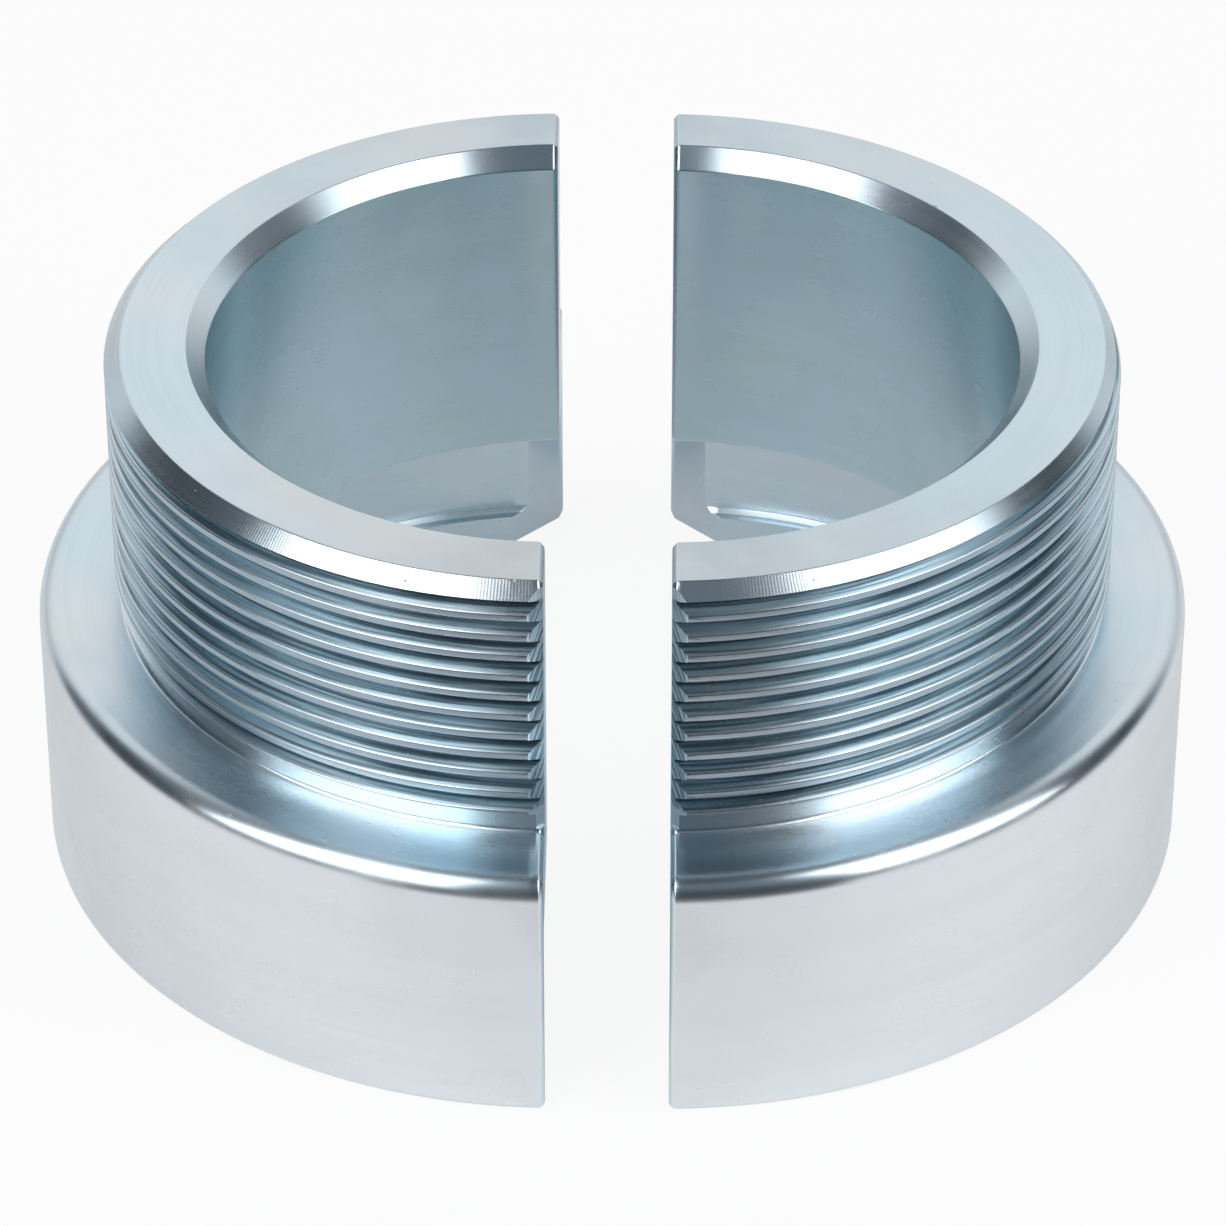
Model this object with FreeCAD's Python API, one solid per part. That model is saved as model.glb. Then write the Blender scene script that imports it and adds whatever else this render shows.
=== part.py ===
import FreeCAD, Part

import math
import os

# Bearing separator: a flanged steel ring with an outside thread, turned in one
# piece and then sawn in two, so that each half shell can be laid round a wheel
# bearing from the side. The lip at the foot hooks under the bearing's flange, and a
# press sleeve screwed on the thread above holds the halves together and pushes.
#
# Lengths are in millimetres and angles in degrees. Z is the ring's axis and the
# foot stands on Z = 0. The saw cut lies in the YZ plane, and the halves stand drawn
# apart along X, mirror images about that plane but for the thread.

# Overall turned form
height = 49.2
flange_height = 24.1
flange_edge_radius = 2.0
flange_edge_flats = 5
foot_edge_break = 0.4

# Right-hand outside thread, nominally M80 x 2
thread_nominal_diameter = 80.0
crest_undersize = 0.3
thread_pitch = 2.0
thread_angle = 60.0
crest_flat = 0.6
thread_lead_chamfer = 1.45

# Relief between the thread's last crest and the flange
relief_length = 2.2
relief_depth = 0.65

# The groove's last stretch, where the threading tool draws out
runout_angle = 150.0

# Bore for the bearing's body, open at the top
bore_diameter = 62.0
bore_lead_chamfer = 1.7
bore_exit_chamfer = 0.4

# Recess for the bearing's flange, the wall round it, and the lip under it
recess_diameter = 84.0
recess_height = 17.7
recess_wall = 4.75
lip_reach = 1.25
lip_height = 3.0

# Saw cut, and how the cut ends are finished
saw_kerf = 1.5
stand_gap = 10.6
cut_edge_break = 0.4
thread_end_bevel = 1.4
corner_land = 1.65
corner_angle = 45.0

# Margin by which a cutter runs past what it cuts
overrun = 1.0

flank_slope = math.tan(math.radians(thread_angle / 2))
thread_depth = (thread_pitch - crest_flat) / 2 / flank_slope
crest_radius = (thread_nominal_diameter - crest_undersize) / 2
root_radius = crest_radius - thread_depth
bore_radius = bore_diameter / 2
recess_radius = recess_diameter / 2
flange_radius = recess_radius + recess_wall
lip_radius = recess_radius - lip_reach
relief_radius = crest_radius - relief_depth
relief_top = flange_height + relief_length
relief_flank = relief_depth * flank_slope
cut_face = saw_kerf / 2
ring_offset = stand_gap / 2 - cut_face


def vec(x, y, z):
    return FreeCAD.Vector(x, y, z)


def flange_edge():
    """The flange's rounded edge, from the shoulder down to the wall, in short flats."""
    points = []
    for step in range(flange_edge_flats + 1):
        turn = math.radians(90 * step / flange_edge_flats)
        inset = flange_edge_radius * (1 - math.sin(turn))
        drop = flange_edge_radius * (1 - math.cos(turn))
        points.append(vec(flange_radius - inset, 0, flange_height - drop))
    return points


def ring_section():
    """The turned section, from the bore's mouth round by the thread to the foot."""
    above = [
        vec(bore_radius, 0, height - bore_lead_chamfer),
        vec(bore_radius + bore_lead_chamfer, 0, height),
        vec(crest_radius - thread_lead_chamfer, 0, height),
        vec(crest_radius, 0, height - thread_lead_chamfer),
        vec(crest_radius, 0, relief_top),
        vec(relief_radius, 0, relief_top - relief_flank),
        vec(relief_radius, 0, flange_height),
    ]
    below = [
        vec(flange_radius, 0, foot_edge_break),
        vec(flange_radius - foot_edge_break, 0, 0),
        vec(lip_radius, 0, 0),
        vec(lip_radius, 0, lip_height),
        vec(recess_radius, 0, lip_height),
        vec(recess_radius, 0, recess_height),
        vec(bore_radius + bore_exit_chamfer, 0, recess_height),
        vec(bore_radius, 0, recess_height + bore_exit_chamfer),
        vec(bore_radius, 0, height - bore_lead_chamfer),
    ]
    return Part.Face(Part.makePolygon(above + flange_edge() + below))


def sawn_half(side):
    """Half of the turned ring, with the saw's kerf taken off its two ends."""
    section = ring_section()
    axis = vec(0, 0, 1)
    section.rotate(vec(0, 0, 0), axis, -90 * side)
    half = section.revolve(vec(0, 0, 0), axis, 180)
    width = 2 * flange_radius + 2 * overrun
    kerf = Part.makeBox(saw_kerf, width, height + 2 * overrun)
    kerf.translate(vec(-cut_face, -width / 2, -overrun))
    return half.cut(kerf)


def corner_cutter(side, end):
    """Prism that bevels the recess and lip at one cut end, leaving a narrow land."""
    outer = math.sqrt(flange_radius ** 2 - cut_face ** 2) - corner_land
    along = recess_radius / 3
    drop = along * math.tan(math.radians(corner_angle))
    rise = overrun * math.tan(math.radians(corner_angle))
    plan = [
        vec(side * (cut_face - overrun), end * (outer + rise), -overrun),
        vec(side * (cut_face + along), end * (outer - drop), -overrun),
        vec(side * (cut_face - overrun), end * (outer - drop), -overrun),
    ]
    plan.append(plan[0])
    base = Part.Face(Part.makePolygon(plan))
    return base.extrude(vec(0, 0, recess_height + overrun))


def break_cut_edges(half, side):
    """Take the sharp edges off both sawn faces all round."""
    edges = []
    for face in half.Faces:
        box = face.BoundBox
        if abs(box.XMin - side * cut_face) < 1e-6 and box.XLength < 1e-6:
            edges.extend(face.OuterWire.Edges)
    return half.makeChamfer(cut_edge_break, edges)


def groove_along(path):
    """Solid swept by the V of the thread groove, its tip following a helix."""
    reach = thread_depth + overrun
    outline = [
        vec(root_radius, 0, 0),
        vec(root_radius + reach, 0, reach * flank_slope),
        vec(root_radius + reach, 0, -reach * flank_slope),
        vec(root_radius, 0, 0),
    ]
    return Part.Wire(path).makePipeShell([Part.makePolygon(outline)], True, True)


def groove_pass(side, middle):
    """One pass of the thread groove across a half, at height middle at mid-span."""
    sweep = 190.0
    rise = thread_pitch * sweep / 360
    groove = groove_along(Part.makeHelix(thread_pitch, rise, root_radius))
    start = -sweep / 2 if side > 0 else 180 - sweep / 2
    groove.rotate(vec(0, 0, 0), vec(0, 0, 1), start)
    groove.translate(vec(0, 0, middle - rise / 2))
    return groove


def groove_runout():
    """The groove's end on the right half, winding down and out of the metal."""
    rise = thread_pitch * runout_angle / 360
    flare = math.degrees(math.atan(thread_depth / rise))
    groove = groove_along(Part.makeHelix(thread_pitch, rise, root_radius, flare))
    groove.rotate(vec(0, 0, 0), vec(1, 0, 0), 180)
    groove.rotate(vec(0, 0, 0), vec(0, 0, 1), 90)
    groove.translate(vec(0, 0, relief_top))
    return groove


def thread_half(half, side):
    """Cut the thread, pass by pass, up from where it ends at the rear saw cut."""
    quarter = thread_pitch / 4
    middle = relief_top + (3 * quarter if side > 0 else quarter)
    while middle < height + quarter:
        half = half.cut(groove_pass(side, middle))
        middle = middle + thread_pitch
    if side > 0:
        half = half.cut(groove_runout())
    return half


def thread_end_cutter(side, end):
    """Wedge that bevels the ends of the thread's ridges at one cut end."""
    edge = math.sqrt(crest_radius ** 2 - cut_face ** 2)
    size = thread_end_bevel
    plan = [
        vec(side * cut_face, end * (edge - size), flange_height),
        vec(side * (cut_face + 2 * size), end * (edge + size), flange_height),
        vec(side * cut_face, end * (edge + size), flange_height),
    ]
    plan.append(plan[0])
    base = Part.Face(Part.makePolygon(plan))
    return base.extrude(vec(0, 0, height))


def half_shell(side):
    """One finished half, on the side of X given as +1 or -1."""
    half = sawn_half(side)
    for end in (-1, 1):
        half = half.cut(corner_cutter(side, end))
    half = break_cut_edges(half, side)
    half = thread_half(half, side)
    for end in (-1, 1):
        half = half.cut(thread_end_cutter(side, end))
    half.translate(vec(side * ring_offset, 0, 0))
    return half


shells = {
    "left_half_shell": half_shell(-1),
    "right_half_shell": half_shell(1),
}

os.makedirs("parts", exist_ok=True)
for name, shape in shells.items():
    shape.exportStep("parts/" + name + ".step")
    print(name, round(shape.Volume, 1), "mm3")
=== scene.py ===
# %% [markdown]
# # A bearing separator in two half shells
#
# The tool is one steel ring, turned on a lathe with a flange at its foot and a
# thread above, and then sawn in two. It is zinc plated, which gives the pale blue
# shine. This lesson builds the two halves the way the workshop does: turn the blank,
# saw it, break its edges, cut the thread, and then plate it.
#
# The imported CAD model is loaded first. It fixes the size and the place of each half,
# and the pieces made here take the place of its plainer meshes.

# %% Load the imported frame
import math

import bmesh
import bpy
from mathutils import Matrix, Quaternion, Vector


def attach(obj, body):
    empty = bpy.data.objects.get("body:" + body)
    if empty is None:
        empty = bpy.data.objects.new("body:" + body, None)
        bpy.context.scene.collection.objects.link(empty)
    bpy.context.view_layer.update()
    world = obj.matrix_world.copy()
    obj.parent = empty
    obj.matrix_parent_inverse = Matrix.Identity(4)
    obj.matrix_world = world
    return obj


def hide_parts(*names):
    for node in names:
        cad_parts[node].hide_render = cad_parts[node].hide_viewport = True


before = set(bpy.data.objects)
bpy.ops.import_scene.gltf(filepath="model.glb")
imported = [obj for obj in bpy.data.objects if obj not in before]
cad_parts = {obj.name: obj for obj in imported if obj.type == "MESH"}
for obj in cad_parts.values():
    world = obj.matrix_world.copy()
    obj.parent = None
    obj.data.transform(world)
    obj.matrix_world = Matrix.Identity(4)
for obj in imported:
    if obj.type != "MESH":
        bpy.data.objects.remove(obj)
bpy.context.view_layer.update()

bpy.ops.object.select_all(action="DESELECT")
print("CAD nodes:", sorted(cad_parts))

# %% [markdown]
# ## The camera
#
# A lens is as long as the perspective of the photograph asks. Here the two far ends
# of the ring look only a little smaller than the near ones, so the camera stands far
# off, at about half a metre, with a long lens. It looks down by 34.6 degrees. The
# camera comes first, because every later look at the work goes through it.

# %% Stand the camera where the photograph was taken
mm = 0.001
camera_place = (4.4 * mm, -447.8 * mm, 328.0 * mm)
camera_pitch = 34.559
camera_yaw = 0.555
camera_roll = 0.033
lens = 177.3

bpy.ops.object.camera_add(location=camera_place)
camera = bpy.context.object
camera.data.lens = lens
camera.data.sensor_width = 36.0
camera.data.clip_end = 20.0
turn = Quaternion((0, 0, 1), math.radians(camera_yaw))
tilt = Quaternion((1, 0, 0), math.radians(90 - camera_pitch))
roll = Quaternion((0, 0, 1), math.radians(camera_roll))
camera.rotation_mode = "QUATERNION"
camera.rotation_quaternion = turn @ tilt @ roll
bpy.context.scene.camera = camera
print("camera at", [round(c, 4) for c in camera.location], "lens", camera.data.lens)

# %% [markdown]
# ## The sizes of the ring
#
# A turned piece is known by its section: radii and heights. Each size gets a name
# once, in millimetres times `mm`, because Blender works in metres here. Angles are in
# degrees. The last two are the margins within which a point counts as lying at a place.

# %% Name the sizes
height = 49.2 * mm
flange_height = 24.1 * mm
flange_radius = 46.75 * mm
flange_edge_radius = 2.0 * mm
flange_edge_segments = 8
foot_edge_break = 0.4 * mm

crest_radius = 39.85 * mm
thread_skin = 0.15 * mm
thread_pitch = 2.0 * mm
crest_flat = 0.6 * mm
flank_angle = 30.0
flank_slope = math.tan(math.radians(flank_angle))
thread_depth = (thread_pitch - crest_flat) / 2 / flank_slope
root_radius = crest_radius - thread_depth
lead_chamfer = 1.45 * mm

relief_radius = 39.2 * mm
relief_top = 26.3 * mm
neck_corner = 0.25 * mm

bore_radius = 31.0 * mm
bore_lead_chamfer = 1.7 * mm
bore_exit_chamfer = 0.4 * mm
recess_radius = 42.0 * mm
recess_height = 17.7 * mm
lip_radius = 40.75 * mm
lip_height = 3.0 * mm
lip_root_break = 0.5 * mm

cut_face = 0.75 * mm
ring_offset = 4.55 * mm
cut_edge_break = 0.4 * mm
soft_edge = 0.1 * mm
corner_land = 1.65 * mm
thread_end_bevel = 1.4 * mm

ring_step = 2.5
sharp_angle = 25.0
smooth_angle = 28.0
near_by = 0.1 * mm
hair = 0.001 * mm
print("thread depth in mm:", round(thread_depth / mm, 3))

# %% [markdown]
# ## Small helpers
#
# Blender's operators act on whatever is selected, so each step starts from nothing
# selected, and then picks what it needs by its place.

# %% Select, apply and report
def select_only(piece):
    """Make one piece the only selected and active one."""
    bpy.ops.object.select_all(action="DESELECT")
    piece.select_set(True)
    bpy.context.view_layer.objects.active = piece


def apply_modifier(piece, kind, **settings):
    """Add one modifier, set it up and apply it."""
    select_only(piece)
    bpy.ops.object.modifier_add(type=kind)
    modifier = piece.modifiers[-1]
    for name, value in settings.items():
        setattr(modifier, name, value)
    bpy.ops.object.modifier_apply(modifier=modifier.name)


def report(piece, what):
    """Print how many faces a piece has, its volume, and any open edge."""
    mesh = bmesh.new()
    mesh.from_mesh(piece.data)
    open_edges = sum(1 for edge in mesh.edges if not edge.is_manifold)
    volume = mesh.calc_volume(signed=True) * 1e9
    print(f"{what}: {len(mesh.faces)} faces, {volume:.0f} mm3, {open_edges} open edges")
    mesh.free()


# %% [markdown]
# ## Drawing an outline
#
# A lathe follows an outline, and so does this helper. It collapses a small plane to
# one point, moves the point to the first corner, and extrudes it from corner to
# corner. A curve object could do the same, but corner by corner keeps every size
# exact, and chosen corners can be rounded afterwards with a vertex bevel.

# %% Draw a closed outline
def draw_outline(name, corners):
    """A closed loop of edges through the given corners."""
    bpy.ops.object.select_all(action="DESELECT")
    bpy.ops.mesh.primitive_plane_add(size=mm)
    outline = bpy.context.object
    outline.name = name
    bpy.ops.object.mode_set(mode="EDIT")
    bpy.ops.mesh.select_mode(type="VERT")
    bpy.ops.mesh.select_all(action="SELECT")
    bpy.ops.mesh.merge(type="CENTER")
    bpy.ops.transform.translate(value=corners[0])
    for here, there in zip(corners, corners[1:]):
        step = tuple(b - a for a, b in zip(here, there))
        bpy.ops.mesh.extrude_region_move(TRANSFORM_OT_translate={"value": step})
    bpy.ops.mesh.select_all(action="SELECT")
    bpy.ops.mesh.edge_face_add()
    bpy.ops.mesh.delete(type="ONLY_FACE")
    bpy.ops.object.mode_set(mode="OBJECT")
    return outline


def round_corners(outline, size, segments, wanted):
    """Round the corners that wanted(place) picks."""
    select_only(outline)
    bpy.ops.object.mode_set(mode="EDIT")
    bpy.ops.mesh.select_mode(type="VERT")
    bpy.ops.mesh.select_all(action="DESELECT")
    mesh = bmesh.from_edit_mesh(outline.data)
    for vertex in mesh.verts:
        vertex.select = wanted(vertex.co)
    mesh.select_flush_mode()
    bmesh.update_edit_mesh(outline.data)
    bpy.ops.mesh.bevel(offset=size, segments=segments, affect="VERTICES")
    bpy.ops.object.mode_set(mode="OBJECT")


# %% [markdown]
# ## Turning and threading share one move
#
# A Screw modifier swings an outline round the Z axis. With no rise it turns a ring,
# and with a rise it cuts like a threading tool: two millimetres for a full turn. The
# ends are then filled and the faces made to point outwards. Each step is 2.5 degrees,
# so the chords leave the true circle by only a hundredth of a millimetre.

# %% Swing an outline round the axis
def swing(outline, start, steps, rise):
    """Sweep an outline from the start angle, in degrees, rising as it goes."""
    select_only(outline)
    outline.rotation_euler.z = math.radians(start)
    bpy.ops.object.transform_apply(location=False, rotation=True, scale=False)
    apply_modifier(
        outline,
        "SCREW",
        angle=math.radians(steps * ring_step),
        screw_offset=rise,
        steps=steps,
        render_steps=steps,
        use_smooth_shade=False,
    )
    bpy.ops.object.mode_set(mode="EDIT")
    bpy.ops.mesh.select_all(action="SELECT")
    bpy.ops.mesh.fill_holes(sides=0)
    bpy.ops.mesh.select_all(action="SELECT")
    bpy.ops.mesh.normals_make_consistent(inside=False)
    bpy.ops.object.mode_set(mode="OBJECT")
    return outline


# %% [markdown]
# ## The turned blank
#
# The section runs from the bore's mouth over the flat top, down the chamfer where the
# sleeve starts on the thread, past the relief groove to the flange, round the
# flange's edge to the foot, and back up inside over the lip and the recess. The part
# that will be threaded is left a skin too thick, which the threading then takes off.

# %% Turn the blank
skin_radius = crest_radius + thread_skin
section = [
    (bore_radius, 0, height - bore_lead_chamfer),
    (bore_radius + bore_lead_chamfer, 0, height),
    (crest_radius - lead_chamfer, 0, height),
    (skin_radius, 0, height - lead_chamfer - thread_skin),
    (skin_radius, 0, relief_top + thread_skin * flank_slope),
    (relief_radius, 0, relief_top - (crest_radius - relief_radius) * flank_slope),
    (relief_radius, 0, flange_height + neck_corner),
    (relief_radius + neck_corner, 0, flange_height),
    (flange_radius, 0, flange_height),
    (flange_radius, 0, foot_edge_break),
    (flange_radius - foot_edge_break, 0, 0),
    (lip_radius, 0, 0),
    (lip_radius, 0, lip_height),
    (recess_radius - lip_root_break, 0, lip_height),
    (recess_radius, 0, lip_height + lip_root_break),
    (recess_radius, 0, recess_height),
    (bore_radius + bore_exit_chamfer, 0, recess_height),
    (bore_radius, 0, recess_height + bore_exit_chamfer),
]
blank = draw_outline("right_shell", section)
round_corners(
    blank,
    flange_edge_radius,
    flange_edge_segments,
    lambda place: place.x > flange_radius - near_by and place.z > flange_height - near_by,
)
swing(blank, -90, round(180 / ring_step), 0)
report(blank, "turned blank")

# %% [markdown]
# ## Sawing
#
# The saw takes a kerf of 1.5 mm from the ring, half of it from each shell. Bisect is
# the tool for a straight cut right through: it clears what lies beyond the plane and
# fills the cut.

# %% Saw off half the kerf
select_only(blank)
bpy.ops.object.mode_set(mode="EDIT")
bpy.ops.mesh.select_all(action="SELECT")
bpy.ops.mesh.bisect(
    plane_co=(cut_face, 0, 0),
    plane_no=(1, 0, 0),
    use_fill=True,
    clear_inner=True,
)
bpy.ops.object.mode_set(mode="OBJECT")
report(blank, "sawn blank")

# %% [markdown]
# ## Bevelled corners at the cut ends
#
# Inside the flange the sharp corner of each cut end is bevelled at 45 degrees, so that
# only a narrow land is left at the flange's outside. A prism takes the corner off
# with a Boolean. Its top lies in the plane of the recess's ceiling, where the Boolean
# leaves a thin spur along the ceiling, and that is drawn in again.

# %% Cut with a prism
merge_distance = 0.003 * mm
flat_angle = 0.3


def prism(name, plan, low, high):
    """An upright prism over a plan of (x, y) corners."""
    shape = draw_outline(name, [(x, y, low) for x, y in plan])
    bpy.ops.object.mode_set(mode="EDIT")
    bpy.ops.mesh.select_all(action="SELECT")
    bpy.ops.mesh.edge_face_add()
    rise = (0, 0, high - low)
    bpy.ops.mesh.extrude_region_move(TRANSFORM_OT_translate={"value": rise})
    bpy.ops.mesh.select_all(action="SELECT")
    bpy.ops.mesh.normals_make_consistent(inside=False)
    bpy.ops.object.mode_set(mode="OBJECT")
    return shape


def cut_away(piece, cutter):
    """Take the cutter's shape out of the piece, and throw the cutter away."""
    apply_modifier(piece, "BOOLEAN", operation="DIFFERENCE", solver="EXACT", object=cutter)
    bpy.data.objects.remove(cutter)


def tidy_faces(piece):
    """Join faces that lie in one plane, and points that lie on each other."""
    select_only(piece)
    bpy.ops.object.mode_set(mode="EDIT")
    bpy.ops.mesh.select_all(action="SELECT")
    bpy.ops.mesh.remove_doubles(threshold=merge_distance)
    bpy.ops.mesh.dissolve_limited(angle_limit=math.radians(flat_angle))
    bpy.ops.object.mode_set(mode="OBJECT")


def draw_in_spur(piece, tip, root):
    """Move the point at tip onto the point at root."""
    select_only(piece)
    bpy.ops.object.mode_set(mode="EDIT")
    bpy.ops.mesh.select_mode(type="VERT")
    bpy.ops.mesh.select_all(action="DESELECT")
    mesh = bmesh.from_edit_mesh(piece.data)
    for vertex in mesh.verts:
        vertex.select = (vertex.co - tip).length < hair
    mesh.select_flush_mode()
    bmesh.update_edit_mesh(piece.data)
    bpy.ops.transform.translate(value=root - tip)
    bpy.ops.object.mode_set(mode="OBJECT")


corner_outer = math.sqrt(flange_radius**2 - cut_face**2) - corner_land
corner_reach = 6 * mm
for end in (-1, 1):
    corner_plan = [
        (cut_face - mm, end * (corner_outer + mm)),
        (cut_face + corner_reach, end * (corner_outer - corner_reach)),
        (cut_face - mm, end * (corner_outer - corner_reach)),
    ]
    cut_away(blank, prism("corner", corner_plan, -mm, recess_height))
    tip = Vector((cut_face + corner_reach, end * (corner_outer - corner_reach), recess_height))
    places = [vertex.co.copy() for vertex in blank.data.vertices]
    on_ceiling = [p for p in places if abs(p.z - recess_height) < hair]
    on_bevel = [p for p in on_ceiling if abs(p.x - cut_face + end * p.y - corner_outer) < hair]
    root = min(on_bevel, key=lambda p: abs(math.hypot(p.x, p.y) - recess_radius))
    print("spur of the corner cut in mm:", round((tip - root).length / mm, 2))
    draw_in_spur(blank, tip, root)
tidy_faces(blank)
report(blank, "with bevelled corners")

# %% [markdown]
# ## Breaking the edges
#
# No real edge is sharp. The saw's edges are filed to a bevel of 0.4 mm all round the
# cut, and every other edge is broken by a tenth of a millimetre. These narrow strips
# are what makes a metal part look real, because each one catches a light of its own.

# %% Break the saw's edges, then all the others
def bevel_selected(size, segments):
    """Bevel the selected edges and leave edit mode."""
    bpy.ops.mesh.bevel(
        offset=size,
        segments=segments,
        affect="EDGES",
        clamp_overlap=True,
    )
    bpy.ops.object.mode_set(mode="OBJECT")


def select_edges(piece, wanted):
    """In edit mode, select the edges whose two ends wanted(place) picks."""
    select_only(piece)
    bpy.ops.object.mode_set(mode="EDIT")
    bpy.ops.mesh.select_mode(type="EDGE")
    bpy.ops.mesh.select_all(action="DESELECT")
    mesh = bmesh.from_edit_mesh(piece.data)
    picked = 0
    for edge in mesh.edges:
        edge.select = all(wanted(vertex.co) for vertex in edge.verts)
        picked += edge.select
    bmesh.update_edit_mesh(piece.data)
    return picked


sawn_edges = select_edges(blank, lambda place: place.x < cut_face + hair)
bevel_selected(cut_edge_break, 1)
print("sawn edges broken:", sawn_edges)
report(blank, "sawn edges broken")

select_only(blank)
bpy.ops.object.mode_set(mode="EDIT")
bpy.ops.mesh.select_mode(type="EDGE")
bpy.ops.mesh.select_all(action="DESELECT")
bpy.ops.mesh.edges_select_sharp(sharpness=math.radians(sharp_angle))
bevel_selected(soft_edge, 2)
report(blank, "all edges softened")

# %% [markdown]
# ## The other half
#
# A half turn about the ring's axis makes the left blank from the right one. The
# thread comes later, because it isn't the same on both halves.

# %% Copy the blank with a half turn
def half_turn_copy(piece, name, lift):
    """A copy of a piece, turned half round the ring's axis and lifted."""
    select_only(piece)
    bpy.ops.object.duplicate()
    copy = bpy.context.object
    copy.name = name
    copy.rotation_euler.z = math.pi
    copy.location.z = lift
    bpy.ops.object.transform_apply(location=True, rotation=True, scale=False)
    return copy


right_shell = blank
left_shell = half_turn_copy(right_shell, "left_shell", 0)
report(left_shell, "left blank")

# %% [markdown]
# ## The thread
#
# The thread is the part of this tool that takes the most skill. Real grooves are cut
# by a tool with a 60 degree point that rises by one pitch a turn. Here all turns of
# the groove are drawn as one comb whose teeth point inwards, and the comb is swung
# once round a half with the right rise. The left comb is the same one, half a turn
# on, so it lies half a pitch lower: pushed together, both halves carry one thread.
# The corners of the comb are rounded, which softens the crests and the roots.

# %% Draw the comb and cut the thread
first_root = 27.3 * mm
thread_turns = 12
lead_angle_run = 5.0
crest_softening = 0.09 * mm
comb_start = -90 - lead_angle_run
comb_steps = round((180 + 2 * lead_angle_run) / ring_step)
comb_rise = thread_pitch * comb_steps * ring_step / 360
comb_lag = thread_pitch * lead_angle_run / 360
comb_back = crest_radius + 1.2 * mm
comb_foot = first_root - comb_lag - thread_pitch
groove_half = (thread_pitch - crest_flat) / 2

comb_corners = [(comb_back, 0, comb_foot), (crest_radius, 0, comb_foot)]
for turn in range(thread_turns):
    middle = first_root - comb_lag + turn * thread_pitch
    comb_corners.append((crest_radius, 0, middle - groove_half))
    comb_corners.append((root_radius, 0, middle))
    comb_corners.append((crest_radius, 0, middle + groove_half))
comb_head = middle + groove_half + 0.2 * mm
comb_corners.append((crest_radius, 0, comb_head))
comb_corners.append((comb_back, 0, comb_head))

comb = draw_outline("right_comb", comb_corners)
round_corners(
    comb,
    crest_softening,
    2,
    lambda place: place.x < crest_radius + near_by
    and comb_foot + near_by < place.z < comb_head - near_by,
)
swing(comb, comb_start, comb_steps, comb_rise)
report(comb, "thread comb")
left_comb = half_turn_copy(comb, "left_comb", -thread_pitch / 2)
cut_away(right_shell, comb)
cut_away(left_shell, left_comb)
tidy_faces(right_shell)
tidy_faces(left_shell)
report(right_shell, "right shell, threaded")
report(left_shell, "left shell, threaded")

# %% [markdown]
# ## The run-out
#
# A threading tool has to leave the work somewhere. At the rear of the right half the
# lowest groove goes on for 150 degrees, winding down and growing shallower until the
# tool is out of the steel. The groove's V is swung like the comb, and then each of its
# points is moved outwards by its share of the way.

# %% Cut the run-out
runout_steps = 60
runout_angle = runout_steps * ring_step
runout_drop = thread_pitch * runout_angle / 360
groove_reach = thread_depth + mm
runout_foot = relief_top - runout_drop
groove_corners = [
    (root_radius, 0, runout_foot),
    (root_radius + groove_reach, 0, runout_foot + groove_reach * flank_slope),
    (root_radius + groove_reach, 0, runout_foot - groove_reach * flank_slope),
]
runout = draw_outline("runout", groove_corners)
swing(runout, 90 - runout_angle, runout_steps + 1, runout_drop + thread_pitch * ring_step / 360)
for vertex in runout.data.vertices:
    reach = math.hypot(vertex.co.x, vertex.co.y)
    gone = 90 - math.degrees(math.atan2(vertex.co.y, vertex.co.x))
    flare = 1 + thread_depth * gone / runout_angle / reach
    vertex.co.x = vertex.co.x * flare
    vertex.co.y = vertex.co.y * flare
cut_away(right_shell, runout)
tidy_faces(right_shell)
report(right_shell, "right shell with run-out")

# %% [markdown]
# ## The ends of the thread
#
# Sawing leaves each ridge with a burr at its end, which is filed off at a slant. Two
# more prisms do that on each half.

# %% File the ends of the ridges
crest_edge = math.sqrt(crest_radius**2 - cut_face**2)
for side, shell in ((1, right_shell), (-1, left_shell)):
    for end in (-1, 1):
        bevel_plan = [
            (side * (cut_face - mm), end * (crest_edge - thread_end_bevel - mm)),
            (side * (cut_face + 2 * thread_end_bevel), end * (crest_edge + thread_end_bevel)),
            (side * (cut_face - mm), end * (crest_edge + thread_end_bevel)),
        ]
        cut_away(shell, prism("file", bevel_plan, flange_height + 0.3 * mm, height + mm))
    tidy_faces(shell)
    report(shell, shell.name + ", ridge ends filed")

# %% [markdown]
# ## Nicks
#
# The halves have been handled. The photograph shows a few nicks in the chamfer and
# beside the bore. Each one is a four-sided dent, as a hard corner leaves it: a small
# pyramid is set with its tip in the metal, and leans as the struck face or edge does.
# Each row gives the shell, the angle round the ring, the radius and height of the
# place, the lean, and the half width and depth of the dent, in degrees and millimetres.

# %% Press in the nicks
dent_stretch = 1.7


def dent_point(angle, radius, level, lean, width, depth):
    """A pyramid whose tip stands depth below a place on the ring."""
    bpy.ops.mesh.primitive_cone_add(vertices=4, radius1=0, radius2=width, depth=2 * depth)
    point = bpy.context.object
    point.name = "dent_point"
    point.scale = (1.0, dent_stretch, 1.0)
    bpy.ops.object.transform_apply(location=False, rotation=False, scale=True)
    around = Quaternion((0, 0, 1), math.radians(angle))
    point.rotation_mode = "QUATERNION"
    point.rotation_quaternion = around @ Quaternion((0, 1, 0), math.radians(lean))
    point.location = around @ Vector((radius, 0, level))
    bpy.ops.object.transform_apply(location=True, rotation=True, scale=False)
    return point


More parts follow.
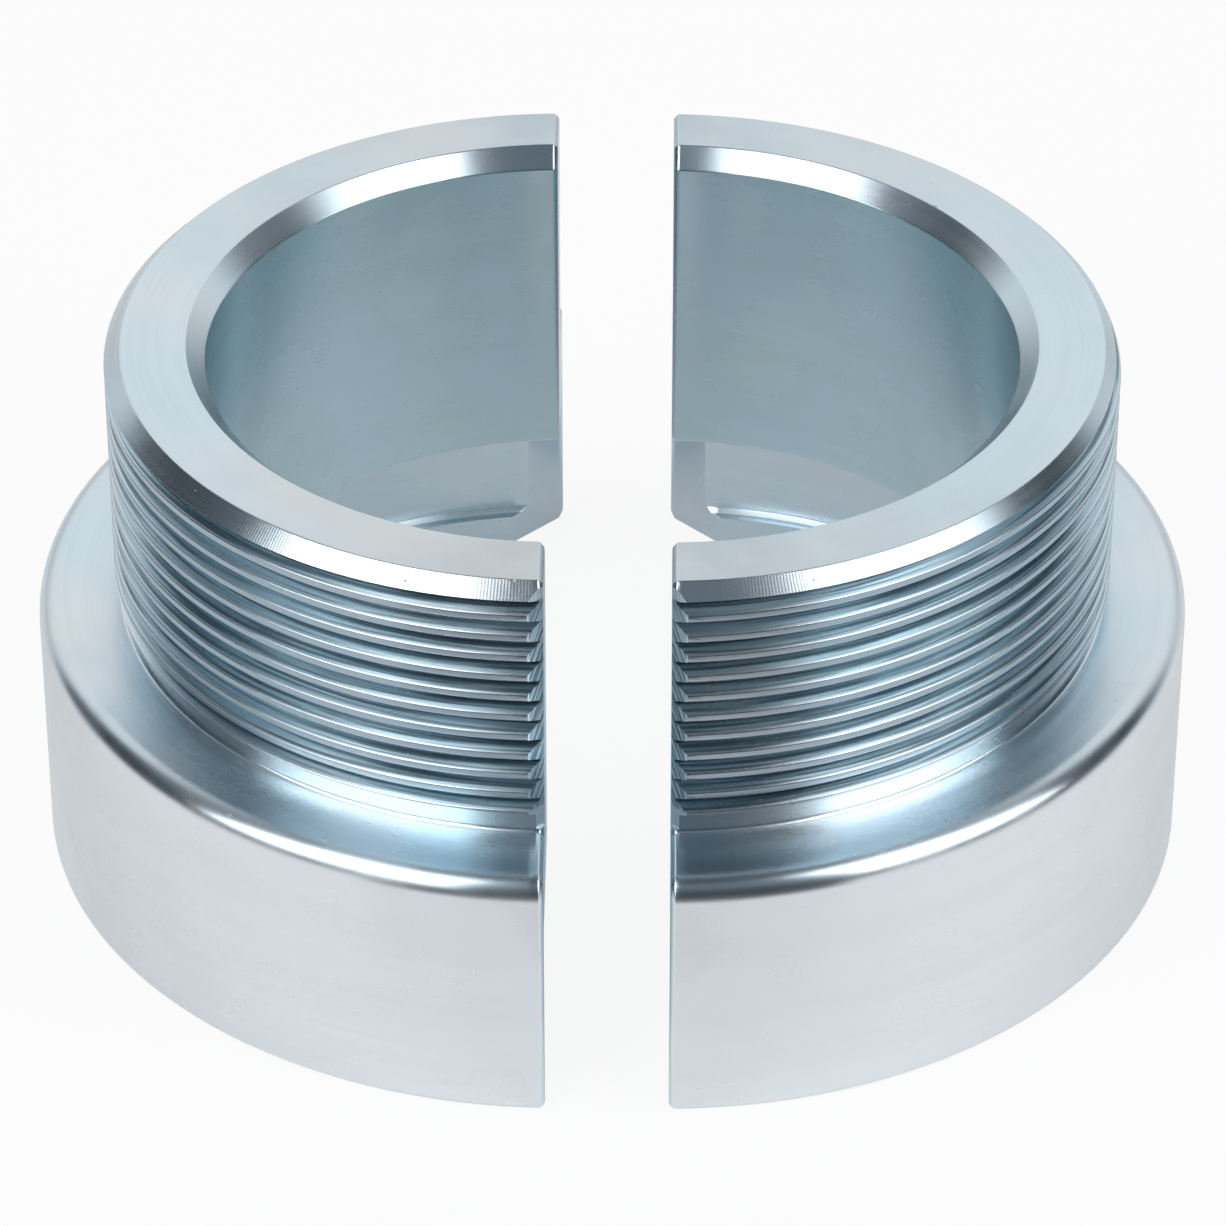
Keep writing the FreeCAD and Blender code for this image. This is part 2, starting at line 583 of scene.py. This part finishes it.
nicks = [
    (left_shell, -94.8, 38.5, 49.2, 20, 0.5, 0.5),
    (left_shell, -108.0, 39.3, 48.4, 45, 0.3, 0.25),
    (left_shell, -141.0, 39.0, 48.7, 45, 0.3, 0.2),
    (right_shell, -71.5, 39.2, 48.6, 45, 0.35, 0.3),
    (right_shell, -38.0, 38.4, 49.2, 20, 0.35, 0.25),
    (right_shell, 42.0, 32.8, 49.2, -20, 0.3, 0.25),
    (right_shell, -6.0, 39.2, 48.5, 45, 0.3, 0.25),
]
for shell, angle, radius, level, lean, width, depth in nicks:
    cut_away(shell, dent_point(angle, radius * mm, level * mm, lean, width * mm, depth * mm))
for shell in (right_shell, left_shell):
    tidy_faces(shell)
    report(shell, shell.name + ", nicked")

# %% [markdown]
# ## Smooth shading
#
# The flats must stay flat and the turned faces must look round. Smooth by angle
# keeps the real edges, and a Weighted Normal modifier lets the large faces decide the
# shading, so the narrow edge strips don't bend the light on the flats beside them.

# %% Set the halves in place and shade them
for side, shell in ((1, right_shell), (-1, left_shell)):
    select_only(shell)
    shell.location.x = side * ring_offset
    bpy.ops.object.transform_apply(location=True, rotation=False, scale=False)
    bpy.ops.object.shade_smooth_by_angle(angle=math.radians(smooth_angle))
    apply_modifier(shell, "WEIGHTED_NORMAL", keep_sharp=True, weight=50)
    print(shell.name, "x from", round(min(v.co.x for v in shell.data.vertices) / mm, 2))

# %% [markdown]
# ## Zinc plate on turned steel
#
# Blue-passivated zinc is nearly a mirror with a blue cast and faint rainbow clouds.
# Three effects are built as node groups, so that each can be tuned by itself: the
# fine rings that the lathe leaves, the clouds of the plating bath, and small specks.
# All of them read Object coordinates centred on the ring's own axis.

# %% Helpers for node groups
def new_group(name, inputs, outputs):
    """An empty shader node group with named value, vector and colour sockets."""
    group = bpy.data.node_groups.new(name, "ShaderNodeTree")
    for socket, kind in inputs:
        group.interface.new_socket(socket, in_out="INPUT", socket_type="NodeSocket" + kind)
    for socket, kind in outputs:
        group.interface.new_socket(socket, in_out="OUTPUT", socket_type="NodeSocket" + kind)
    return group, group.nodes.new("NodeGroupInput"), group.nodes.new("NodeGroupOutput")


def vector_math(tree, operation, first, second=None):
    """A vector maths node on one or two vectors, linked or given as numbers."""
    node = tree.nodes.new("ShaderNodeVectorMath")
    node.operation = operation
    for socket, value in zip(node.inputs, (first, second)):
        if isinstance(value, tuple):
            socket.default_value = value
        elif value is not None:
            tree.links.new(value, socket)
    return node


def value_math(tree, operation, *values):
    """A maths node on values, linked or given as numbers."""
    node = tree.nodes.new("ShaderNodeMath")
    node.operation = operation
    for socket, value in zip(node.inputs, values):
        if isinstance(value, (int, float)):
            socket.default_value = value
        else:
            tree.links.new(value, socket)
    return node.outputs["Value"]


def map_range(tree, source, low, high, to_low, to_high):
    """A smooth step of a value from one range to another."""
    node = tree.nodes.new("ShaderNodeMapRange")
    node.interpolation_type = "SMOOTHSTEP"
    node.inputs["From Min"].default_value = low
    node.inputs["From Max"].default_value = high
    node.inputs["To Min"].default_value = to_low
    node.inputs["To Max"].default_value = to_high
    tree.links.new(source, node.inputs["Value"])
    return node.outputs["Result"]


def noise(tree, vector, scale, detail):
    """A noise value over a vector."""
    node = tree.nodes.new("ShaderNodeTexNoise")
    node.inputs["Scale"].default_value = scale
    node.inputs["Detail"].default_value = detail
    tree.links.new(vector, node.inputs["Vector"])
    return node.outputs["Fac"]


# %% [markdown]
# The lathe's rings run round the axis on every turned face. One number serves them
# all: the distance from the axis plus a part of the height grows across walls, flats
# and cones alike. Noise is stretched along the ring by giving it the direction from
# the axis, which changes slowly, and that number, which changes fast.

# %% Rings that the lathe leaves
height_share = 0.37
broad_scale = 0.23
streak_share = 0.5


def make_turning_rings():
    """Node group: height and streaks of the fine rings round the Z axis."""
    tree, given, result = new_group(
        "turning_rings",
        [("Vector", "Vector"), ("Rings per Metre", "Float"), ("Drift", "Float")],
        [("Height", "Float"), ("Streaks", "Float")],
    )
    flat = vector_math(tree, "MULTIPLY", given.outputs["Vector"], (1.0, 1.0, 0.0))
    reach = vector_math(tree, "LENGTH", flat.outputs["Vector"])
    heading = vector_math(tree, "NORMALIZE", flat.outputs["Vector"])
    split = tree.nodes.new("ShaderNodeSeparateXYZ")
    tree.links.new(given.outputs["Vector"], split.inputs["Vector"])
    level = split.outputs["Z"]
    across = value_math(tree, "MULTIPLY_ADD", level, height_share, reach.outputs["Value"])
    fast = value_math(tree, "MULTIPLY", across, given.outputs["Rings per Metre"])
    slow = vector_math(tree, "SCALE", heading.outputs["Vector"])
    tree.links.new(given.outputs["Drift"], slow.inputs["Scale"])
    lift = tree.nodes.new("ShaderNodeCombineXYZ")
    tree.links.new(fast, lift.inputs["Z"])
    place = vector_math(tree, "ADD", slow.outputs["Vector"], lift.outputs["Vector"])
    fine = noise(tree, place.outputs["Vector"], 1.0, 2.0)
    broad = noise(tree, place.outputs["Vector"], broad_scale, 1.0)
    tree.links.new(fine, result.inputs["Height"])
    broad_part = value_math(tree, "MULTIPLY", broad, 1 - streak_share)
    streaks = value_math(tree, "MULTIPLY_ADD", fine, streak_share, broad_part)
    tree.links.new(streaks, result.inputs["Streaks"])
    return tree


turning_rings = make_turning_rings()
print("made", turning_rings.name)

# %% [markdown]
# Passivation tints the zinc by the thickness of its film, which gives soft clouds of
# pale blue, and a paler, warmer grey where the film is thicker.

# %% Clouds of the plating bath
haze_shift = (7.3, 1.9, 4.1)
haze_scale = 2.6
film_tints = (
    (0.3, (0.63, 0.765, 0.845, 1.0)),
    (0.45, (0.675, 0.8, 0.87, 1.0)),
    (0.6, (0.725, 0.805, 0.86, 1.0)),
    (0.72, (0.755, 0.8, 0.8, 1.0)),
)


def make_plating_clouds():
    """Node group: tint and haze of the plating over a piece."""
    tree, given, result = new_group(
        "plating_clouds",
        [("Vector", "Vector"), ("Clouds per Metre", "Float")],
        [("Tint", "Color"), ("Haze", "Float")],
    )
    place = vector_math(tree, "SCALE", given.outputs["Vector"])
    tree.links.new(given.outputs["Clouds per Metre"], place.inputs["Scale"])
    shifted = vector_math(tree, "ADD", place.outputs["Vector"], haze_shift)
    film = noise(tree, place.outputs["Vector"], 1.0, 3.0)
    haze = noise(tree, shifted.outputs["Vector"], haze_scale, 4.0)
    ramp = tree.nodes.new("ShaderNodeValToRGB")
    stops = ramp.color_ramp.elements
    stops.remove(stops[1])
    stops[0].position = film_tints[0][0]
    stops[0].color = film_tints[0][1]
    for position, colour in film_tints[1:]:
        stops.new(position).color = colour
    tree.links.new(film, ramp.inputs["Fac"])
    tree.links.new(ramp.outputs["Color"], result.inputs["Tint"])
    tree.links.new(haze, result.inputs["Haze"])
    return tree


plating_clouds = make_plating_clouds()
print("made", plating_clouds.name)

# %% [markdown]
# Handling leaves small specks. They are the places close to the middle of a Voronoi
# pattern's cells, and a coarse noise keeps them to a few patches.

# %% Specks
patch_scale = 90.0
patch_span = (0.5, 0.62)


def make_specks():
    """Node group: a mask of small specks."""
    tree, given, result = new_group(
        "specks",
        [("Vector", "Vector"), ("Cells per Metre", "Float"), ("Size", "Float")],
        [("Mask", "Float")],
    )
    cells = tree.nodes.new("ShaderNodeTexVoronoi")
    tree.links.new(given.outputs["Vector"], cells.inputs["Vector"])
    tree.links.new(given.outputs["Cells per Metre"], cells.inputs["Scale"])
    near = value_math(tree, "LESS_THAN", cells.outputs["Distance"], given.outputs["Size"])
    coarse = noise(tree, given.outputs["Vector"], patch_scale, 2.0)
    patches = map_range(tree, coarse, *patch_span, 0.0, 1.0)
    tree.links.new(value_math(tree, "MULTIPLY", near, patches), result.inputs["Mask"])
    return tree


specks = make_specks()
print("made", specks.name)

# %% [markdown]
# Some places differ: the sawn faces, the bore, the flange's wall, the thread's crests and grooves,
# and the lead chamfer. The sawn faces and the lead chamfer get their own marks; the bore, the crests
# and the grooves get painted shade, and the flange's wall painted light. Each place gets a mask, a
# value from 0 to 1 that is made from the distance to the axis, the height, or the distance to the
# cut.

# %% Mix, multiply and place masks
def group_node(tree, group, vector, **values):
    """A node group placed in a material, with its own values."""
    node = tree.nodes.new("ShaderNodeGroup")
    node.node_tree = group
    tree.links.new(vector, node.inputs["Vector"])
    for name, value in values.items():
        node.inputs[name.replace("_", " ")].default_value = value
    return node


def mixed(tree, kind, factor, first, second):
    """A mix of two values, vectors or colours by a mask."""
    node = tree.nodes.new("ShaderNodeMix")
    node.data_type = kind
    first_socket = {"FLOAT": 2, "VECTOR": 4, "RGBA": 6}[kind]
    tree.links.new(factor, node.inputs["Factor"])
    for socket, value in zip(node.inputs[first_socket : first_socket + 2], (first, second)):
        if isinstance(value, tuple):
            socket.default_value = value
        else:
            tree.links.new(value, socket)
    return node.outputs[{"FLOAT": 0, "VECTOR": 1, "RGBA": 2}[kind]]


def product(tree, *masks):
    """All the masks multiplied together."""
    total = masks[0]
    for mask in masks[1:]:
        total = value_math(tree, "MULTIPLY", total, mask)
    return total


def rising(tree, source, place, width):
    """A mask that grows from 0 to 1 over a short width from a place on."""
    return map_range(tree, source, place, place + width, 0.0, 1.0)


def falling(tree, source, place, width):
    """A mask that sinks from 1 to 0 over a short width from a place on."""
    return map_range(tree, source, place, place + width, 1.0, 0.0)


# %% Find the places that get their own marks, painted shade and painted light
def place_masks(tree, spot):
    """Masks of the sawn faces, bore, flange wall, crests, grooves and lead chamfer."""
    axes = tree.nodes.new("ShaderNodeSeparateXYZ")
    tree.links.new(spot, axes.inputs["Vector"])
    level = axes.outputs["Z"]
    flat = vector_math(tree, "MULTIPLY", spot, (1.0, 1.0, 0.0))
    reach = vector_math(tree, "LENGTH", flat.outputs["Vector"]).outputs["Value"]
    from_cut = value_math(tree, "ABSOLUTE", axes.outputs["X"])
    off_cut = cut_face + 0.02 * mm
    lead_foot = height - lead_chamfer - 0.1 * mm
    lead_mouth = crest_radius - lead_chamfer - 0.1 * mm

    on_thread = product(
        tree,
        rising(tree, level, relief_top, 0.5 * mm),
        falling(tree, level, lead_foot - 0.1 * mm, 0.1 * mm),
        rising(tree, from_cut, off_cut, 0.04 * mm),
    )
    over_root = rising(tree, reach, root_radius - 0.2 * mm, 0.1 * mm)
    under_crest = falling(tree, reach, crest_radius - 0.25 * mm, 0.13 * mm)
    at_crest = rising(tree, reach, crest_radius - 0.05 * mm, 0.03 * mm)
    over_lead_foot = rising(tree, level, lead_foot, 0.2 * mm)
    past_lead_mouth = rising(tree, reach, lead_mouth, 0.1 * mm)
    return {
        "sawn": falling(tree, from_cut, off_cut, 0.04 * mm),
        "bore": falling(tree, reach, bore_radius + 0.05 * mm, 0.15 * mm),
        "wall": rising(tree, reach, flange_radius - 0.3 * mm, 0.25 * mm),
        "crest": product(tree, on_thread, at_crest),
        "groove": product(tree, on_thread, over_root, under_crest),
        "lead": product(tree, over_lead_foot, past_lead_mouth),
    }


# %% [markdown]
# The bore is painted a deeper, darker blue with faint yellowish clouds, as painted shade inside it,
# and the flange's wall is painted whiter, as a painted reflection of the bright table it mirrors.
# The thread's flanks are painted darker, as painted shade streaked along the lathe rings, and so are
# the flats of the crests.

# %% Colour the plating
streak_span = (0.3, 0.7)
streak_shades = (0.98, 1.03)
groove_streak_span = (0.4, 0.6)
# Painted shade: the bore's two tints are darker than the outer film, for the shade inside the bore.
painted_bore_shades = ((0.56, 0.735, 0.84, 1.0), (0.62, 0.745, 0.75, 1.0))
# Painted light: the flange's wall is whiter, as a painted reflection of the bright table.
painted_wall_lights = ((0.82, 0.885, 0.925, 1.0), (0.87, 0.885, 0.9, 1.0))
# Painted shade: the thread's grooves are darker, streaked along the lathe rings.
painted_groove_shades = ((0.24, 0.3, 0.33, 1.0), (0.72, 0.82, 0.86, 1.0))
# Painted shade: the flats of the crests are darker between their bright edges.
painted_crest_shade = (0.62, 0.66, 0.7, 1.0)


def plating_colour(tree, clouds, rings, streaks, on):
    """The film's colour, with painted shade on bore, grooves and crests, painted light on the wall.
    """
    film = clouds.outputs["Haze"]
    # The bore gets painted shade, and the flange's wall gets painted light.
    bore_shaded_film = mixed(tree, "RGBA", film, *painted_bore_shades)
    wall_lit_film = mixed(tree, "RGBA", film, *painted_wall_lights)
    outer_film = mixed(tree, "RGBA", on["wall"], clouds.outputs["Tint"], wall_lit_film)
    colour = mixed(tree, "RGBA", on["bore"], outer_film, bore_shaded_film)

    # The grooves get painted shade streaked along the lathe rings, and the crests a flat painted
    # shade.
    groove_streak = map_range(tree, rings.outputs["Height"], *groove_streak_span, 0.0, 1.0)
    painted_flank_shade = mixed(tree, "RGBA", groove_streak, *painted_groove_shades)
    face_shade = map_range(tree, streaks, *streak_span, *streak_shades)
    outer_shade = mixed(tree, "RGBA", on["crest"], face_shade, painted_crest_shade)
    shade = mixed(tree, "RGBA", on["groove"], outer_shade, painted_flank_shade)

    tint = tree.nodes.new("ShaderNodeMix")
    tint.data_type = "RGBA"
    tint.blend_type = "MULTIPLY"
    tint.inputs["Factor"].default_value = 1.0
    tree.links.new(colour, tint.inputs[6])
    tree.links.new(shade, tint.inputs[7])
    return tint.outputs[2]


# %% [markdown]
# The lathe's rings bend the light a little on every turned face. The sawn faces carry
# level lines in their stead, and the lead chamfer has fine chatter lines across it.

# %% Roughen the plating
streak_roughness = (0.25, 0.28)
haze_span = (0.35, 0.7)
haze_roughness = (-0.03, 0.04)
saw_lines_stretch = (60.0, 60.0, 3600.0)
chatter_lines = 900.0
chatter_height = 0.3
speck_depth = -0.8
speck_roughness = 0.1
mark_height = 0.012 * mm
mark_strength = 0.25


def straight_lines(tree, spot):
    """Height of the level lines that sawing leaves."""
    stretched = vector_math(tree, "MULTIPLY", spot, saw_lines_stretch)
    return noise(tree, stretched.outputs["Vector"], 1.0, 2.0)


def chatter(tree, spot, on):
    """Fine lines across the lead chamfer, counted round the ring."""
    axes = tree.nodes.new("ShaderNodeSeparateXYZ")
    tree.links.new(spot, axes.inputs["Vector"])
    heading = value_math(tree, "ARCTAN2", axes.outputs["Y"], axes.outputs["X"])
    wave = value_math(tree, "SINE", value_math(tree, "MULTIPLY", heading, chatter_lines))
    return value_math(tree, "MULTIPLY", wave, on["lead"])


def plating_roughness(tree, clouds, streaks, dots):
    """Roughness with lathe streaks, haze and specks."""
    ring_gloss = map_range(tree, streaks, *streak_span, *streak_roughness)
    haze_gloss = map_range(tree, clouds.outputs["Haze"], *haze_span, *haze_roughness)
    gloss = value_math(tree, "ADD", ring_gloss, haze_gloss)
    return value_math(tree, "MULTIPLY_ADD", dots.outputs["Mask"], speck_roughness, gloss)


def plating_bump(tree, spot, rings, lines, dots, on):
    """Normal bent by lathe rings, saw lines, chatter and specks."""
    marks = mixed(tree, "FLOAT", on["sawn"], rings.outputs["Height"], lines)
    marks = value_math(tree, "MULTIPLY_ADD", chatter(tree, spot, on), chatter_height, marks)
    pits = value_math(tree, "MULTIPLY_ADD", dots.outputs["Mask"], speck_depth, marks)
    bump = tree.nodes.new("ShaderNodeBump")
    bump.inputs["Strength"].default_value = mark_strength
    bump.inputs["Distance"].default_value = mark_height
    tree.links.new(pits, bump.inputs["Height"])
    return bump.outputs["Normal"]


# %% [markdown]
# The grooves also stretch each reflection across themselves, as on a brushed pan. So
# the gloss is anisotropic. Its tangent runs round the axis with the grooves, and level
# on the sawn faces. A quarter turn of the anisotropy makes the rough direction lie
# across them.

# %% Put the plating together
def zinc_plate(name, axis_x):
    """Turned, zinc plated steel whose grooves run round the axis at x = axis_x."""
    material = bpy.data.materials.new(name)
    material.use_nodes = True
    tree = material.node_tree
    shader = tree.nodes["Principled BSDF"]
    shader.inputs["Metallic"].default_value = 1.0
    shader.inputs["Anisotropic"].default_value = 0.8
    shader.inputs["Anisotropic Rotation"].default_value = 0.25

    place = tree.nodes.new("ShaderNodeTexCoord")
    centre = tree.nodes.new("ShaderNodeMapping")
    centre.inputs["Location"].default_value = (-axis_x, 0.0, 0.0)
    tree.links.new(place.outputs["Object"], centre.inputs["Vector"])
    spot = centre.outputs["Vector"]
    on = place_masks(tree, spot)
    rings = group_node(tree, turning_rings, spot, Rings_per_Metre=4200.0, Drift=2.2)
    clouds = group_node(tree, plating_clouds, spot, Clouds_per_Metre=38.0)
    dots = group_node(tree, specks, spot, Cells_per_Metre=700.0, Size=0.09)
    lines = straight_lines(tree, spot)
    streaks = mixed(tree, "FLOAT", on["sawn"], rings.outputs["Streaks"], lines)

    around = vector_math(tree, "CROSS_PRODUCT", (0.0, 0.0, 1.0), spot).outputs["Vector"]
    ringwise = vector_math(tree, "NORMALIZE", around).outputs["Vector"]
    along = mixed(tree, "VECTOR", on["sawn"], ringwise, (0.0, 1.0, 0.0))
    colour = plating_colour(tree, clouds, rings, streaks, on)
    rough = plating_roughness(tree, clouds, streaks, dots)
    normal = plating_bump(tree, spot, rings, lines, dots, on)
    tree.links.new(along, shader.inputs["Tangent"])
    tree.links.new(colour, shader.inputs["Base Color"])
    tree.links.new(rough, shader.inputs["Roughness"])
    tree.links.new(normal, shader.inputs["Normal"])
    return material


for side, shell, node in ((1, right_shell, "right_half_shell"), (-1, left_shell, "left_half_shell")):
    shell.data.materials.clear()
    shell.data.materials.append(zinc_plate(node + "_zinc", side * ring_offset))
    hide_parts(node)
    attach(shell, "root")
    print(shell.name, "stands in for", node)

# %% [markdown]
# ## The floor
#
# The halves stand on a white table. Seen from the camera it is nine parts of a white
# glow to one part of plain paint, so the background is white and the shadow stays
# faint. In the metal's reflections the glow is one fifth, and the rest is paint that
# the softboxes and the tent light up.

# %% Lay the floor
floor_side = 1.4
floor_camera_glow = 0.9
floor_glossy_glow = 0.2

bpy.ops.object.select_all(action="DESELECT")
bpy.ops.mesh.primitive_plane_add(size=floor_side, location=(0, 0, 0))
floor = bpy.context.object
floor.name = "floor"
paint = bpy.data.materials.new("pale_floor")
paint.use_nodes = True
paint.cycles.emission_sampling = "NONE"
tree = paint.node_tree
plain = tree.nodes["Principled BSDF"]
plain.inputs["Base Color"].default_value = (0.95, 0.95, 0.95, 1.0)
plain.inputs["Roughness"].default_value = 0.9
plain.inputs["Specular IOR Level"].default_value = 0.1

rays = tree.nodes.new("ShaderNodeLightPath").outputs
seen = value_math(tree, "ADD", rays["Is Camera Ray"], rays["Is Transmission Ray"])
mirrored = value_math(tree, "MULTIPLY", rays["Is Glossy Ray"], floor_glossy_glow)
glow_share = value_math(tree, "MULTIPLY_ADD", seen, floor_camera_glow, mirrored)
white_glow = tree.nodes.new("ShaderNodeEmission")
white_glow.inputs["Color"].default_value = (1.0, 1.0, 1.0, 1.0)
finish = tree.nodes.new("ShaderNodeMixShader")
tree.links.new(glow_share, finish.inputs["Fac"])
tree.links.new(plain.outputs["BSDF"], finish.inputs[1])
tree.links.new(white_glow.outputs["Emission"], finish.inputs[2])
tree.links.new(finish.outputs["Shader"], tree.nodes["Material Output"].inputs["Surface"])
floor.data.materials.append(paint)
print("floor side in m:", floor_side)

# %% [markdown]
# ## A dark card in front
#
# Out of the picture, in front of the object, a dark card lies on the table, hidden from
# the camera. The threads and the lower part of the flange's round edge mirror it, which
# gives them the dark lines that a white table all round would wash out. It is a fan,
# narrow near the object, so that the flange's wall still mirrors white table.

# %% Lay the card
card_near = 110 * mm
card_far = 680 * mm
card_half_angle = 34.0
card_lift = 0.5 * mm

bpy.ops.mesh.primitive_plane_add(size=1.0, location=(0, 0, 0))
card = bpy.context.object
card.name = "card"
spread = math.tan(math.radians(card_half_angle))
for corner in card.data.vertices:
    away = card_near if corner.co.y > 0 else card_far
    across = away * spread if corner.co.x > 0 else -away * spread
    corner.co = Vector((across, -away, card_lift))
card.visible_camera = False
card.visible_shadow = False
black = bpy.data.materials.new("dark_card")
black.use_nodes = True
matt = black.node_tree.nodes["Principled BSDF"]
matt.inputs["Base Color"].default_value = (0.03, 0.035, 0.04, 1.0)
matt.inputs["Roughness"].default_value = 0.9
card.data.materials.append(black)
print("card from", card_near, "to", card_far, "m in front")

# %% [markdown]
# ## Light and what the metal mirrors
#
# Plating has hardly a colour of its own: what we see is the room. Two big softboxes
# stand left and right in front, and make the white streaks. The rest of the room is a
# tent round the stage: pale behind the object, dim overhead, and dark behind the
# camera, which gives the dark lines between the streaks. The paths of light find the
# tent and the floor's glow by chance and not as lamps, which makes rendering faster.

# %% Hang the softboxes
softbox_away = 0.6
softbox_tone = 2.6


def softbox(name, azimuth, low, high, width):
    """An upright soft light, turned at the stage; azimuth 0 lies along +Y."""
    place = (
        softbox_away * math.sin(math.radians(azimuth)),
        softbox_away * math.cos(math.radians(azimuth)),
        (low + high) / 2,
    )
    bpy.ops.object.light_add(type="AREA", location=place)
    lamp = bpy.context.object
    lamp.name = name
    lamp.data.shape = "RECTANGLE"
    lamp.data.size = width
    lamp.data.size_y = high - low
    lamp.data.energy = softbox_tone * math.pi * width * (high - low)
    lamp.rotation_mode = "QUATERNION"
    lamp.rotation_quaternion = Vector((place[0], place[1], 0)).to_track_quat("Z", "Y")
    lamp.visible_camera = False
    print(name, "gives", round(lamp.data.energy, 2), "W")


softbox("left_softbox", azimuth=-131, low=0.25, high=1.6, width=0.62)
softbox("right_softbox", azimuth=116, low=0.23, high=1.35, width=0.53)

# %% Raise the tent
tent_radius = 2.0
bpy.ops.mesh.primitive_uv_sphere_add(radius=tent_radius, segments=64, ring_count=32)
tent = bpy.context.object
tent.name = "tent"
tent.visible_camera = False
tent.visible_shadow = False
cloth = bpy.data.materials.new("tent_cloth")
cloth.use_nodes = True
cloth.cycles.emission_sampling = "NONE"
tree = cloth.node_tree
tree.nodes.remove(tree.nodes["Principled BSDF"])

place = tree.nodes.new("ShaderNodeTexCoord")
ray = vector_math(tree, "NORMALIZE", place.outputs["Object"]).outputs["Vector"]
flat = vector_math(tree, "MULTIPLY", ray, (1.0, 1.0, 0.0)).outputs["Vector"]
heading = vector_math(tree, "NORMALIZE", flat).outputs["Vector"]
ray_parts = tree.nodes.new("ShaderNodeSeparateXYZ")
heading_parts = tree.nodes.new("ShaderNodeSeparateXYZ")
tree.links.new(ray, ray_parts.inputs["Vector"])
tree.links.new(heading, heading_parts.inputs["Vector"])
rise = ray_parts.outputs["Z"]

behind = map_range(tree, heading_parts.outputs["Y"], 0.45, 0.66, 0.0, 1.0)
low_pale = map_range(tree, rise, -0.05, 0.42, 0.5, 0.87)
high_pale = map_range(tree, rise, 0.66, 0.95, 1.0, 0.15)
pale = value_math(tree, "MULTIPLY", low_pale, high_pale)
low_dark = map_range(tree, rise, 0.4, 0.85, 0.04, 0.22)
dark_top = map_range(tree, rise, 0.88, 0.97, 1.0, 0.25)
dark = value_math(tree, "MULTIPLY", low_dark, dark_top)
tone = mixed(tree, "FLOAT", behind, dark, pale)
cast = mixed(tree, "RGBA", behind, (0.8, 0.95, 1.1, 1.0), (1.0, 1.0, 1.0, 1.0))
glow = tree.nodes.new("ShaderNodeEmission")
tree.links.new(cast, glow.inputs["Color"])
tree.links.new(tone, glow.inputs["Strength"])
tree.links.new(glow.outputs["Emission"], tree.nodes["Material Output"].inputs["Surface"])
tent.data.materials.append(cloth)
print("tent radius in m:", tent_radius)

# %% [markdown]
# ## The world
#
# The world outside the tent is plain white. The tent is hidden from the camera, so
# from any side the background stays white.

# %% Make the world white
world = bpy.data.worlds.new("studio")
world.use_nodes = True
bpy.context.scene.world = world
sky = world.node_tree.nodes["Background"]
sky.inputs["Color"].default_value = (1.0, 1.0, 1.0, 1.0)
sky.inputs["Strength"].default_value = 1.0
bpy.context.scene.view_settings.view_transform = "Standard"
print("view transform:", bpy.context.scene.view_settings.view_transform)
